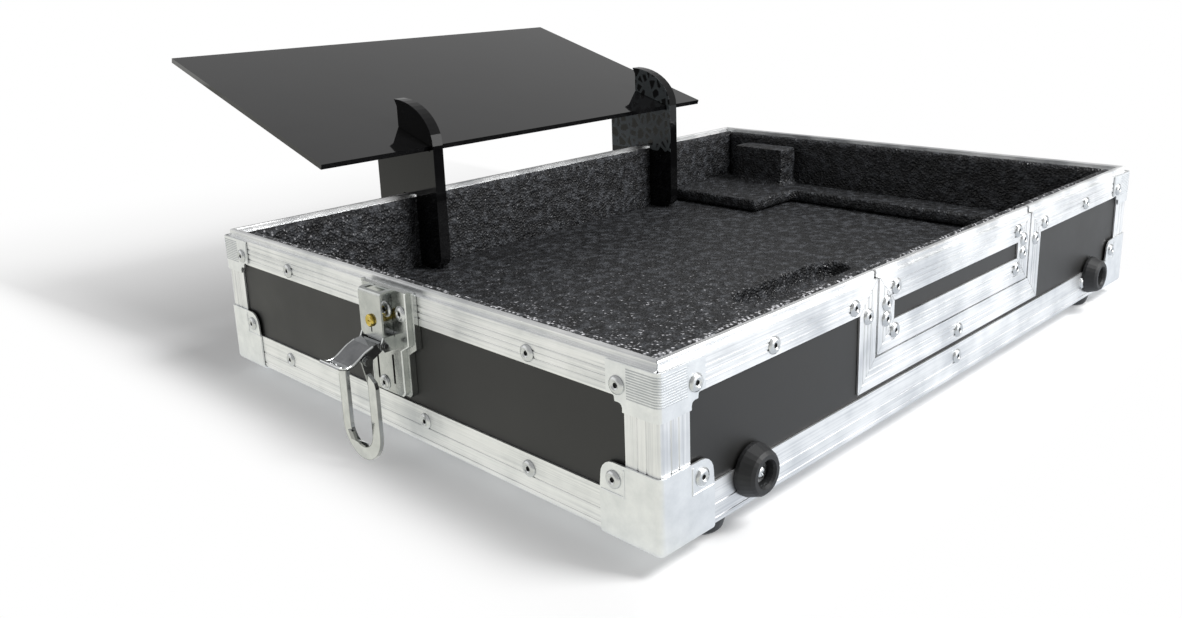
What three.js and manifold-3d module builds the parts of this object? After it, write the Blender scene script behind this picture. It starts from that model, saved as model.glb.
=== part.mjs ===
import * as THREE from 'three';
import { RoundedBoxGeometry } from 'three/addons/geometries/RoundedBoxGeometry.js';
import { mergeVertices } from 'three/addons/utils/BufferGeometryUtils.js';
import Module from 'manifold-3d';

const wasm = await Module();
wasm.setup();

// Overall size
const caseLength = 728;
const caseDepth = 520;
const gap = 0.3;

// Laminated panels and aluminium sections
const panelThickness = 9;
const skin = 1.4;
const innerSkin = 1.2;
const edgeWidth = 30;
const innerLegShort = 1;
const edgeRound = 3;
const postWidth = 27;
const fluteDepth = 0.5;
const fluteFloor = 0.45;
const fluteMouth = 0.75;
const rimFluteStart = 6;
const rimFluteSpacing = 4.5;
const edgeFluteLow = 5.5;
const edgeFluteHigh = 15;
const postFluteStart = 10;
const postFluteSpacing = 7;
const rimWidth = 22;
const rimInnerStart = 10;
const tongueFront = 3.2;
const tongueWidth = 4.8;
const tongueRise = 5.2;
const tongueBevel = 0.9;
const grooveDepth = 4.1;
const grooveClear = 0.5;
const railInnerStart = 5;

// Removable access panel in the front wall
const openHalf = 151.5;
const sillLift = 3.6;
const panelWindow = 14.5;
const legTongueRun = 14.5;
const panelSideGap = 3;

// Corner braces of pressed plate
const braceThickness = 1.3;
const rimBraceHeight = 30.5;
const rimBraceNarrow = 27;
const rimBraceFirstStep = 6;
const rimBraceSecondStep = 7;
const rimBraceStepRise = 5.7;
const rimBraceShoulderRise = 4.5;
const rimBraceBend = 3;
const baseBraceRise = 20.3;
const baseBraceWide = 48;
const baseBraceEarInset = 12;
const baseBraceEarRadius = 11;
const baseBraceWaist = 26;
const baseBraceTail = 4;
const baseBraceCut = 14;
const baseBraceKneeInset = 8;

// Foam lining
const foamThickness = 8.5;
const foamRise = 2.7;
const floorThickness = 36;
const recessLength = 162;
const recessWidth = 38;
const recessDepth = 18;
const recessX = 19;
const recessFromFront = 150.7;
const ledgeThickness = 14.7;
const ledgeWide = 120.7;
const ledgeNarrow = 43.7;
const ledgeWideDepth = 132.7;
const blockWidth = 31.7;
const blockDepth = 75;
const blockFromRear = 32.7;
const blockHeight = 60.7;

// Rubber bumpers and feet
const bumperFromBrace = 20.5;
const bumperDrop = 5.3;
const bumperHeight = 12.5;
const bumperBaseRadius = 18;
const bumperLip = 2.5;
const bumperNeckRadius = 16.6;
const bumperFaceRadius = 15;
const bumperRound = 2;
const bumperWellRadius = 9;
const bumperWellMouth = 10;
const bumperWellDepth = 7;
const footHeight = 14;
const footFromBrace = 16;
const footInset = 24;

// Toggle latch on each side wall; heights ending in Z are above the rim's lower edge
const latchY = 4.5;
const plateFront = 6.6;
const plateThickness = 1.4;
const flangeFront = 3.6;
const flangeWidth = 5.5;
const upperNear = 31;
const upperFar = 23;
const upperBottomZ = -15.5;
const upperRise = 2.5;
const lowerNear = 21.5;
const lowerFar = 17.5;
const lowerStep = 6;
const lowerRound = 3;
const lowerClear = 6;
const slitY = -14.2;
const slitHalf = 0.35;
const slitMargin = 4;
const lockHalf = 14;
const lockFront = 16;
const lockBend = 3;
const lockSlotInset = 4;
const lockSlotBack = 1;
const lockSlotFront = 2.6;
const lockAboveHub = 1;
const lockTopDrop = 1;
const barrelZ = 0.5;
const barrelRadius = 4;
const barrelProud = 1.3;
const barrelBack = 8;
const barrelRim = 4.8;
const barrelRimThickness = 0.7;
const keyHalf = 0.8;
const keyDrop = 9;
const slotY = 10;
const slotHalf = 1.2;
const slotRise = 8;
const slotLength = 23;
const hingeOut = 15;
const hingeZ = -16.3;
const hingeRadius = 1.8;
const hubRadius = 3;
const lugClear = 0.4;
const lugThickness = 1.6;
const lugReach = 4;
const lugBelow = 5;
const lugAbove = 6;
const leverHalf = 12.5;
const leverThickness = 1.8;
const leverRuns = [0, 9, 16, 21.5, 26, 31, 35, 38];
const leverDrops = [0, 1.2, 4, 7.6, 10.2, 11.2, 10.4, 9];
const cheekThickness = 1.6;
const cheekRadius = 3.6;
const pivotRun = 16;
const pivotZ = -24.2;
const pinRadius = 2;
const pinClear = 0.3;
const pinOverhang = 1.1;
const pinHeadRadius = 3;
const pinHeadThickness = 0.9;
const bailThickness = 3;
const bailWidth = 10;
const bailInnerClear = 2;
const bailBottomZ = -103.5;
const bailNeck = 6;
const bailShoulderZ = -37.8;
const earClear = 0.7;
const earThickness = 1.7;
const earRadius = 4.6;
const hookHalf = 3;
const hookThickness = 2;
const hookReach = 9;
const hookRise = 16;

// Tilted shelf and its two hanging brackets
const shelfLength = 533;
const shelfDepth = 300;
const shelfThickness = 5;
const shelfOverhang = 55;
const shelfFrontRise = 57.5;
const shelfTiltDegrees = 16.6;
const bracketThickness = 12;
const bracketSpacing = 352;
const bracketFromLedge = 27;
const bracketInside = 34.2;
const bracketOutside = 43;
const bracketClear = 0.6;
const bracketLip = 5.2;
const bracketTail = 45.8;
const bracketRound = 8;
const bracketFootRound = 14;
const hornRun = 60;
const hornRise = 43;
const hornHookRise = 36;
const hornRearRun = 56;

// Smoothness of round shapes
const turnParts = 28;
const smallTurnParts = 20;
const arcParts = 6;
const bendParts = 4;
const hornParts = 12;
const leverParts = 12;
const cheekParts = 7;

// Sizes that follow from the ones above
const halfLength = caseLength / 2;
const halfDepth = caseDepth / 2;
const mitreCut = gap * Math.SQRT1_2;
const panelFace = skin + gap;
const panelBack = panelFace + panelThickness;
const slotBack = panelBack + gap;
const legBack = slotBack + innerSkin;
const edgeBottom = -panelFace;
const edgeTop = edgeBottom + edgeWidth;
const wallBottom = edgeBottom + legBack + gap;
const slotRoof = rimWidth - skin;
const tongueBack = tongueFront + tongueWidth;
const tongueTop = rimWidth + tongueRise;
const foamFace = legBack + gap;
const foamBack = foamFace + foamThickness;
const edgeInnerReach = foamBack - innerLegShort;

// Heights of the access opening, stacked up to the rim
const sillBottom = edgeTop + sillLift;
const panelBottom = sillBottom + tongueTop + gap - grooveDepth;
const railTopOfFoot = panelBottom + rimWidth;
const rimBottom = railTopOfFoot + panelWindow;
const shoulderZ = rimBottom + rimWidth;
const legTongueTop = rimBottom + legTongueRun;
const foamTop = shoulderZ + foamRise;

const metal = { color: 0xc9ccce, roughness: 0.38, metalness: 0.9 };
const plated = { color: 0xd6d8da, roughness: 0.16, metalness: 1 };
const laminate = { color: 0x33332f, roughness: 0.42, metalness: 0 };
const foam = { color: 0x3a3b3f, roughness: 0.95, metalness: 0 };
const acrylic = { color: 0x141516, roughness: 0.08, metalness: 0 };
const rubber = { color: 0x1a1a1b, roughness: 0.6, metalness: 0 };
const brass = { color: 0xc9a03c, roughness: 0.22, metalness: 1 };

const model = new THREE.Group();
model.name = 'coffin_case_base';

// One closed, outward facing skin from any closed geometry
function closed(geometry) {
  geometry.deleteAttribute('normal');
  geometry.deleteAttribute('uv');
  const merged = mergeVertices(geometry);
  const position = merged.attributes.position;
  const index = merged.index.array;
  const faces = [];
  const a = new THREE.Vector3();
  const b = new THREE.Vector3();
  const c = new THREE.Vector3();
  let volume = 0;
  for (let i = 0; i < index.length; i += 3) {
    const [p, q, r] = [index[i], index[i + 1], index[i + 2]];
    if (p === q || q === r || r === p) continue;
    a.fromBufferAttribute(position, p);
    b.fromBufferAttribute(position, q);
    c.fromBufferAttribute(position, r);
    volume += a.dot(b.cross(c));
    faces.push([p, q, r]);
  }
  const turned = volume < 0 ? faces.map(([p, q, r]) => [p, r, q]) : faces;
  const result = new THREE.BufferGeometry();
  result.setAttribute('position', position);
  result.setIndex(turned.flat());
  return result;
}

// Every vertex of a geometry moved to where place puts it
function placed(geometry, place) {
  const position = geometry.attributes.position;
  for (let i = 0; i < position.count; i += 1) {
    const [x, y, z] = place(position.getX(i), position.getY(i), position.getZ(i));
    position.setXYZ(i, x, y, z);
  }
  return closed(geometry);
}

// A straight piece with the outline of points; place gets (a, b, end), end being 0 or 1
function prism(points, place, hole) {
  const shape = new THREE.Shape(points.map(([a, b]) => new THREE.Vector2(a, b)));
  if (hole) shape.holes.push(new THREE.Path(hole.map(([a, b]) => new THREE.Vector2(a, b))));
  const geometry = new THREE.ExtrudeGeometry(shape, { depth: unitShare, steps: 1, bevelEnabled: false });
  return placed(geometry, place);
}

function block(x0, x1, y0, y1, z0, z1) {
  const geometry = new THREE.BoxGeometry(x1 - x0, y1 - y0, z1 - z0);
  geometry.translate((x0 + x1) / 2, (y0 + y1) / 2, (z0 + z1) / 2);
  return closed(geometry);
}

function arc(a, b, radius, from, to, parts) {
  const points = [];
  for (let i = 0; i <= parts; i += 1) {
    const turn = THREE.MathUtils.degToRad(from + (to - from) * i / parts);
    points.push([a + radius * Math.cos(turn), b + radius * Math.sin(turn)]);
  }
  return points;
}

function manifold(geometry) {
  const mesh = new wasm.Mesh({
    numProp: 3,
    vertProperties: new Float32Array(geometry.attributes.position.array),
    triVerts: new Uint32Array(geometry.index.array),
  });
  return new wasm.Manifold(mesh);
}

// Added pieces joined into one, cut pieces taken away
function joined(added, cut = []) {
  let body = manifold(added[0]);
  for (const piece of added.slice(1)) body = body.add(manifold(piece));
  for (const piece of cut) body = body.subtract(manifold(piece));
  const mesh = body.getMesh();
  const geometry = new THREE.BufferGeometry();
  const count = mesh.vertProperties.length / mesh.numProp;
  const position = new Float32Array(count * 3);
  for (let i = 0; i < count; i += 1) {
    for (let k = 0; k < 3; k += 1) position[i * 3 + k] = mesh.vertProperties[i * mesh.numProp + k];
  }
  geometry.setAttribute('position', new THREE.BufferAttribute(position, 3));
  geometry.setIndex(Array.from(mesh.triVerts));
  return closed(geometry);
}

function add(name, geometry, finish) {
  const flat = geometry.toNonIndexed();
  flat.computeVertexNormals();
  const mesh = new THREE.Mesh(flat, new THREE.MeshStandardMaterial(finish));
  mesh.name = name;
  model.add(mesh);
}

const unitShare = 1;
const easeShare = 1.5;
const bendShare = 0.4;

// Each side of the case: n inwards from its outer face, s along it, z up
const sides = {
  front: { half: halfLength, at: (n, s, z) => [s, n - halfDepth, z] },
  rear: { half: halfLength, at: (n, s, z) => [s, halfDepth - n, z] },
  left: { half: halfDepth, at: (n, s, z) => [n - halfLength, s, z] },
  right: { half: halfDepth, at: (n, s, z) => [halfLength - n, s, z] },
};

// Fine drawn flutes in an outer face, each at its distance along the face
const flutes = (places) => places.flatMap((v) => [
  [v - fluteMouth, 0], [v - fluteFloor, fluteDepth], [v + fluteFloor, fluteDepth], [v + fluteMouth, 0],
]);
const rimFlutes = flutes([0, 1, 2].map((step) => rimFluteStart + step * rimFluteSpacing));
const edgeFlutes = flutes([edgeFluteLow, edgeFluteHigh]);
const postFlutes = flutes([postFluteStart, postFluteStart + postFluteSpacing]);
const across = ([v, n]) => [n, v];

// How far a mitred end keeps back from a corner of the case, so that its arris is eased
const cornerReach = (half, n) => half - n - mitreCut - Math.max(0, edgeRound - n * easeShare);

// Base panel and walls
add('base_panel', block(
  legBack + gap - halfLength, halfLength - legBack - gap,
  legBack + gap - halfDepth, halfDepth - legBack - gap,
  0, panelThickness,
), laminate);
const wallTop = rimBottom + slotRoof - gap;
const notchX = openHalf - slotRoof + gap;
const notchZ = sillBottom + slotRoof - gap;
const wallEnd = halfLength - panelFace;
const wallPlace = (side) => (s, z, end) => side.at(end ? panelBack : panelFace, s, z);
add('wall_front', prism([
  [-wallEnd, wallBottom], [wallEnd, wallBottom], [wallEnd, wallTop], [notchX, wallTop],
  [notchX, notchZ], [-notchX, notchZ], [-notchX, wallTop], [-wallEnd, wallTop],
], wallPlace(sides.front)), laminate);
add('wall_rear', block(
  -wallEnd, wallEnd, halfDepth - panelBack, halfDepth - panelFace, wallBottom, wallTop,
), laminate);
const sideEnd = halfDepth - slotBack;
add('wall_left', block(
  panelFace - halfLength, panelBack - halfLength, -sideEnd, sideEnd, wallBottom, wallTop,
), laminate);
add('wall_right', block(
  halfLength - panelBack, halfLength - panelFace, -sideEnd, sideEnd, wallBottom, wallTop,
), laminate);

// Bottom edge sections with a slot for each panel, mitred at the corners
const edgeSection = [
  [edgeWidth, 0], [edgeWidth, skin], [legBack, skin], [legBack, slotBack],
  [edgeInnerReach, slotBack], [edgeInnerReach, legBack], [legBack, legBack],
  [legBack, edgeInnerReach], [slotBack, edgeInnerReach], [slotBack, legBack],
  [skin, legBack], [skin, edgeWidth], [0, edgeWidth],
  ...edgeFlutes.map(across).reverse(),
  ...arc(edgeRound, edgeRound, edgeRound, 180, 270, 3),
];
const coreEnd = legBack - skin;
const edgeCore = [[skin + edgeRound, skin], [coreEnd, skin], [coreEnd, coreEnd], [skin, coreEnd], [skin, skin + edgeRound]];
for (const [name, side] of Object.entries(sides)) {
  const place = (n, v, end) => {
    const reach = cornerReach(side.half, n);
    return side.at(n, end ? reach : -reach, edgeBottom + v);
  };
  add(`bottom_edge_${name}`, prism(edgeSection, place, edgeCore), metal);
}

// Corner posts
const postSection = [
  [postWidth, 0], [postWidth, skin], [skin, skin], [skin, postWidth], [0, postWidth],
  ...postFlutes.map(across).reverse(), ...arc(edgeRound, edgeRound, edgeRound, 180, 270, 3), ...postFlutes,
];
const postCorners = [['front_left', -1, -1], ['front_right', 1, -1], ['rear_left', -1, 1], ['rear_right', 1, 1]];
for (const [name, signX, signY] of postCorners) {
  const place = (a, b, end) => [
    signX * (halfLength - a), signY * (halfDepth - b), end ? rimBottom - gap : edgeTop + gap,
  ];
  add(`corner_post_${name}`, prism(postSection, place), metal);
}

// Rim sections carrying the tongue that a lid's groove sits on
const tongueSection = [
  ...rimFlutes.map(across).reverse(), [0, 0], [skin, 0], [skin, slotRoof], [slotBack, slotRoof], [slotBack, rimInnerStart],
  [legBack, rimInnerStart], [legBack, rimWidth], [tongueBack, rimWidth],
  [tongueBack, tongueTop - tongueBevel], [tongueBack - tongueBevel, tongueTop],
  [tongueFront + tongueBevel, tongueTop], [tongueFront, tongueTop - tongueBevel],
  [tongueFront, rimWidth], [0, rimWidth],
];
for (const name of ['rear', 'left', 'right']) {
  const side = sides[name];
  const place = (n, v, end) => {
    const reach = cornerReach(side.half, n);
    return side.at(n, end ? reach : -reach, rimBottom + v);
  };
  add(`rim_${name}`, prism(tongueSection, place), metal);
}
for (const [name, sign] of [['left', -1], ['right', 1]]) {
  const seam = (v) => openHalf - Math.min(v, rimWidth) + mitreCut;
  const place = (n, v, end) => sides.front.at(n, sign * (end ? cornerReach(halfLength, n) : seam(v)), rimBottom + v);
  add(`rim_front_${name}`, prism(tongueSection, place), metal);
}

// Frame of the access opening: tongues face the opening, mitred into the rim and the sill
for (const [name, sign] of [['left', -1], ['right', 1]]) {
  const low = (v) => sillBottom + v + mitreCut;
  const high = (v) => (v > rimWidth ? legTongueTop : rimBottom + v - mitreCut);
  const place = (n, v, end) => sides.front.at(n, sign * (openHalf - v), end ? high(v) : low(v));
  add(`access_leg_${name}`, prism(tongueSection, place), metal);
}
add('access_sill', prism(tongueSection, (n, v, end) => {
  const reach = openHalf - v - mitreCut;
  return sides.front.at(n, end ? reach : -reach, sillBottom + v);
}), metal);

// Removable access panel: grooved rails at the sides and foot, a tongued rail on top
const panelHalf = openHalf - rimWidth - panelSideGap;
const panelInner = panelHalf - rimWidth;
const web = rimWidth - grooveDepth;
const webLow = web - skin;
const grooveFront = tongueFront - grooveClear;
const grooveBack = tongueBack + grooveClear;
const grooveSection = [
  ...rimFlutes.map(across).reverse(), [0, 0], [skin, 0], [skin, webLow], [slotBack, webLow], [slotBack, railInnerStart],
  [legBack, railInnerStart], [legBack, web], [grooveBack + skin, web],
  [grooveBack + skin, rimWidth], [grooveBack, rimWidth], [grooveBack, web],
  [grooveFront, web], [grooveFront, rimWidth], [0, rimWidth],
];
add('access_rail_top', prism(tongueSection, (n, v, end) => {
  const reach = panelInner + Math.min(v, rimWidth) - mitreCut;
  return sides.front.at(n, end ? reach : -reach, rimBottom + v);
}), metal);
add('access_rail_bottom', prism(grooveSection, (n, v, end) => {
  const reach = panelInner + v - mitreCut;
  return sides.front.at(n, end ? reach : -reach, railTopOfFoot - v);
}), metal);
for (const [name, sign] of [['left', -1], ['right', 1]]) {
  const place = (n, v, end) => sides.front.at(
    n, sign * (panelInner + v), end ? rimBottom + v - mitreCut : railTopOfFoot - v + mitreCut,
  );
  add(`access_rail_${name}`, prism(grooveSection, place), metal);
}
const boardHalf = panelInner + webLow - gap;
add('access_board', block(
  -boardHalf, boardHalf, panelFace - halfDepth, panelBack - halfDepth,
  railTopOfFoot - webLow + gap, wallTop,
), laminate);
const padHalf = openHalf - rimWidth - gap;
const padBottom = sillBottom + rimWidth;
add('access_foam_pad', block(
  -padHalf, padHalf, foamFace - halfDepth, foamBack - halfDepth, padBottom + gap, foamTop,
), foam);

// Foam lining of the walls
const liningEnd = halfLength - foamFace;
const liningBottom = wallBottom;
const liningPlace = (s, z, end) => sides.front.at(end ? foamBack : foamFace, s, z);
const padNotch = padHalf + gap;
add('foam_front', prism([
  [-liningEnd, liningBottom], [liningEnd, liningBottom], [liningEnd, foamTop], [padNotch, foamTop],
  [padNotch, padBottom], [-padNotch, padBottom], [-padNotch, foamTop], [-liningEnd, foamTop],
], liningPlace), foam);
add('foam_rear', block(
  -liningEnd, liningEnd, halfDepth - foamBack, halfDepth - foamFace, liningBottom, foamTop,
), foam);
const sideLining = halfDepth - foamBack - gap;
add('foam_left', block(
  foamFace - halfLength, foamBack - halfLength, -sideLining, sideLining, liningBottom, foamTop,
), foam);
add('foam_right', block(
  halfLength - foamBack, halfLength - foamFace, -sideLining, sideLining, liningBottom, foamTop,
), foam);

// Thick foam floor with an oblong finger recess
const floorX = halfLength - foamBack - gap;
const floorTop = panelThickness + gap + floorThickness;
const recessY = recessFromFront - sideLining;
const recessEnd = recessLength / 2 - recessWidth / 2;
const recessOutline = [
  ...arc(recessX + recessEnd, recessY, recessWidth / 2, -90, 90, arcParts),
  ...arc(recessX - recessEnd, recessY, recessWidth / 2, 90, 270, arcParts),
];
add('foam_floor', joined(
  [block(-floorX, floorX, -sideLining, sideLining, panelThickness + gap, floorTop)],
  [prism(recessOutline, (x, y, end) => [x, y, end ? floorTop + gap : floorTop - recessDepth])],
), foam);

// Raised foam ledge along the right wall with its corner block
const ledgeTop = floorTop + gap + ledgeThickness;
const ledgeWideX = floorX - ledgeWide;
const ledgeNarrowX = floorX - ledgeNarrow;
const ledgeJogY = sideLining - ledgeWideDepth;
const blockFarY = sideLining - blockFromRear;
const ledgeOutline = [
  [ledgeNarrowX, -sideLining], [floorX, -sideLining], [floorX, sideLining],
  [ledgeWideX, sideLining], [ledgeWideX, ledgeJogY], [ledgeNarrowX, ledgeJogY],
];
add('foam_ledge', joined([
  prism(ledgeOutline, (x, y, end) => [x, y, end ? ledgeTop : floorTop + gap]),
  block(
    floorX - blockWidth, floorX, blockFarY - blockDepth, blockFarY,
    floorTop + gap, floorTop + gap + blockHeight,
  ),
]), foam);

// Corner braces of plate bent round the upright edge, trimmed to their outlines
const braceOut = gap + braceThickness;
const bendInside = edgeRound + gap;
const bendOutside = edgeRound + braceOut;
const rimBraceBottom = shoulderZ - rimBraceHeight;
const rimBraceStep = rimBraceBottom + rimBraceStepRise;
const rimBraceShoulder = rimBraceStep + rimBraceShoulderRise;
const rimBraceMid = rimBraceNarrow + rimBraceFirstStep;
const rimBraceWide = rimBraceMid + rimBraceSecondStep;
const rimBraceSection = [
  [rimBraceWide, -gap], ...arc(edgeRound, edgeRound, bendInside, 270, 180, bendParts), [-gap, rimBraceWide],
  [-braceOut, rimBraceWide], ...arc(edgeRound, edgeRound, bendOutside, 180, 270, bendParts), [rimBraceWide, -braceOut],
];
const rimBraceTrim = [
  [rimBraceNarrow, rimBraceBottom - gap], [rimBraceNarrow, rimBraceStep - rimBraceBend],
  ...arc(rimBraceNarrow + rimBraceBend, rimBraceStep - rimBraceBend, rimBraceBend, 180, 90, 3).slice(1),
  [rimBraceMid, rimBraceStep],
  ...arc(rimBraceMid + rimBraceBend, rimBraceShoulder - rimBraceBend, rimBraceBend, 180, 90, 3).slice(1),
  [rimBraceWide + gap, rimBraceShoulder], [rimBraceWide + gap, rimBraceBottom - gap],
];
const baseBraceLow = edgeBottom - braceOut;
const baseBraceTop = edgeTop + baseBraceRise;
const baseBraceEar = baseBraceWide - baseBraceEarInset;
const baseBraceKnee = baseBraceWide - baseBraceKneeInset;
const trimEnd = baseBraceWide + baseBraceEarRadius;
const earZ = baseBraceTop - baseBraceEarRadius;
const baseBraceTrim = [
  [trimEnd, baseBraceWaist], [baseBraceWide, baseBraceWaist],
  ...arc(baseBraceEar, earZ, baseBraceEarRadius, 0, 90, 5),
  [baseBraceEar, baseBraceTop + gap], [trimEnd, baseBraceTop + gap],
];
const soleTrim = [
  [trimEnd, baseBraceTail], [baseBraceWide, baseBraceTail],
  [baseBraceKnee, baseBraceCut], [baseBraceCut, baseBraceKnee], [baseBraceTail, baseBraceWide],
  [baseBraceTail, trimEnd], [trimEnd, trimEnd],
];
for (const [name, signX, signY] of postCorners) {
  const plan = (a, b, z) => [signX * (halfLength - a), signY * (halfDepth - b), z];
  const onLong = (d, z, end) => plan(d, end ? bendOutside : -bendOutside, z);
  const onShort = (d, z, end) => plan(end ? bendOutside : -bendOutside, d, z);
  add(`rim_brace_${name}`, joined(
    [prism(rimBraceSection, (a, b, end) => plan(a, b, end ? shoulderZ : rimBraceBottom))],
    [prism(rimBraceTrim, onLong), prism(rimBraceTrim, onShort)],
  ), metal);

  const cup = (offset, radius, reach) => placed(
    new RoundedBoxGeometry(reach * 2, reach * 2, reach * 2, bendParts, radius),
    (x, y, z) => plan(x + reach - offset, y + reach - offset, z + reach - offset + edgeBottom),
  );
  const far = baseBraceWide * 2;
  const beyond = (a0, b0, z0) => placed(
    new THREE.BoxGeometry(far * 2, far * 2, far * 2),
    (x, y, z) => plan(x + far + a0, y + far + b0, z + far + z0),
  );
  add(`base_brace_${name}`, joined([cup(braceOut, bendOutside, baseBraceWide)], [
    cup(gap, bendInside, far),
    beyond(baseBraceWide, -far, -far), beyond(-far, baseBraceWide, -far), beyond(-far, -far, baseBraceTop),
    prism(baseBraceTrim, onLong), prism(baseBraceTrim, onShort),
    prism(soleTrim, (a, b, end) => plan(a, b, end ? edgeBottom : baseBraceLow - gap)),
  ]), metal);
}

// Rubber bumpers and feet, each turned with a screw well
function turnedBumper(height, place) {
  const profile = [
    [0, 0], [bumperBaseRadius, 0], [bumperBaseRadius, bumperLip],
    [bumperNeckRadius, height / 2], [bumperFaceRadius, height - bumperRound],
    [bumperFaceRadius - bumperRound, height], [bumperWellMouth, height],
    [bumperWellRadius, height - bumperRound], [bumperWellRadius, height - bumperWellDepth],
    [0, height - bumperWellDepth],
  ].map(([r, h]) => new THREE.Vector2(r, h));
  return placed(new THREE.LatheGeometry(profile, turnParts), place);
}
const bumperX = halfLength - baseBraceWide - bumperFromBrace - bumperBaseRadius;
const bumperZ = edgeTop - bumperDrop;
for (const [name, sign] of [['left', -1], ['right', 1]]) {
  add(`bumper_${name}`, turnedBumper(bumperHeight, (x, y, z) => [
    sign * bumperX + x, -halfDepth - gap - y, bumperZ + z,
  ]), rubber);
}
const footX = halfLength - baseBraceWide - footFromBrace;
const footY = halfDepth - footInset;
for (const [name, signX, signY] of postCorners) {
  add(`foot_${name}`, turnedBumper(footHeight, (x, y, z) => [
    signX * footX + x, signY * footY + z, edgeBottom - gap - y,
  ]), rubber);
}

// A round bar across the latch, from y0 to y1 at (o, z)
function crossBar(at, o, z, radius, y0, y1) {
  const geometry = new THREE.CylinderGeometry(radius, radius, y1 - y0, smallTurnParts);
  geometry.translate(0, (y0 + y1) / 2, 0);
  return placed(geometry, (a, b, c) => at(o + a, b, z + c));
}

// Toggle latches: o outwards from the wall, y across, z up
const upperTopZ = rimWidth + upperRise;
const lowerBottomZ = edgeTop + lowerClear - rimBottom;
const slotBottomZ = lowerBottomZ + slotRise;
const lockBottomZ = hingeZ + hubRadius + lockAboveHub;
const lockTopZ = upperTopZ - lockTopDrop;
const barrelFront = lockFront + barrelProud;
const plateBack = plateFront - plateThickness;
const panFoot = gap - panelFace;
const plateSide = (sign, upper, lower, grow) => [
  [sign * (upper + grow), upperTopZ + Math.min(grow, 0)], [sign * (upper + grow), upperBottomZ - grow * bendShare],
  [sign * (lower + grow), upperBottomZ - lowerStep - grow * bendShare],
  [sign * (lower + grow), lowerBottomZ + lowerRound], [sign * (lower + grow - lowerRound), lowerBottomZ - Math.min(grow, 0)],
];
const plateOutline = (grow) => [
  ...plateSide(-1, upperNear, lowerNear, grow), ...plateSide(1, upperFar, lowerFar, grow).reverse(),
];
const lockCover = [
  [plateBack, lockTopZ - plateThickness], [plateBack, lockTopZ],
  ...arc(lockFront - lockBend, lockTopZ - lockBend, lockBend, 90, 0, bendParts),
  [lockFront, lockBottomZ], [lockFront - plateThickness, lockBottomZ],
  ...arc(lockFront - lockBend, lockTopZ - lockBend, lockBend - plateThickness, 0, 90, bendParts),
];
const lugInner = leverHalf + lugClear;
const lugAxisOut = hingeOut + lugReach - hubRadius;
const leverCurve = new THREE.SplineCurve(leverRuns.map((run, i) => new THREE.Vector2(
  hingeOut + run, hingeZ + hubRadius - leverDrops[i],
)));
const leverLine = (depth, parts) => Array.from({ length: parts + 1 }, (_, i) => {
  const point = leverCurve.getPoint(i / leverParts);
  const way = leverCurve.getTangent(i / leverParts);
  return [point.x + way.y * depth, point.y - way.x * depth];
});
const leverOutline = [...leverLine(0, leverParts), ...leverLine(leverThickness, leverParts).reverse()];
const pivotOut = hingeOut + pivotRun;
const earInner = leverHalf + earClear;
const pinHalf = earInner + earThickness + pinOverhang;
const bailInnerHalf = leverHalf + bailInnerClear;
const bailOuterHalf = bailInnerHalf + bailWidth;
const bailLegTopZ = bailShoulderZ + bailNeck;
const bailAxisOut = bailThickness / 2;
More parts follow.
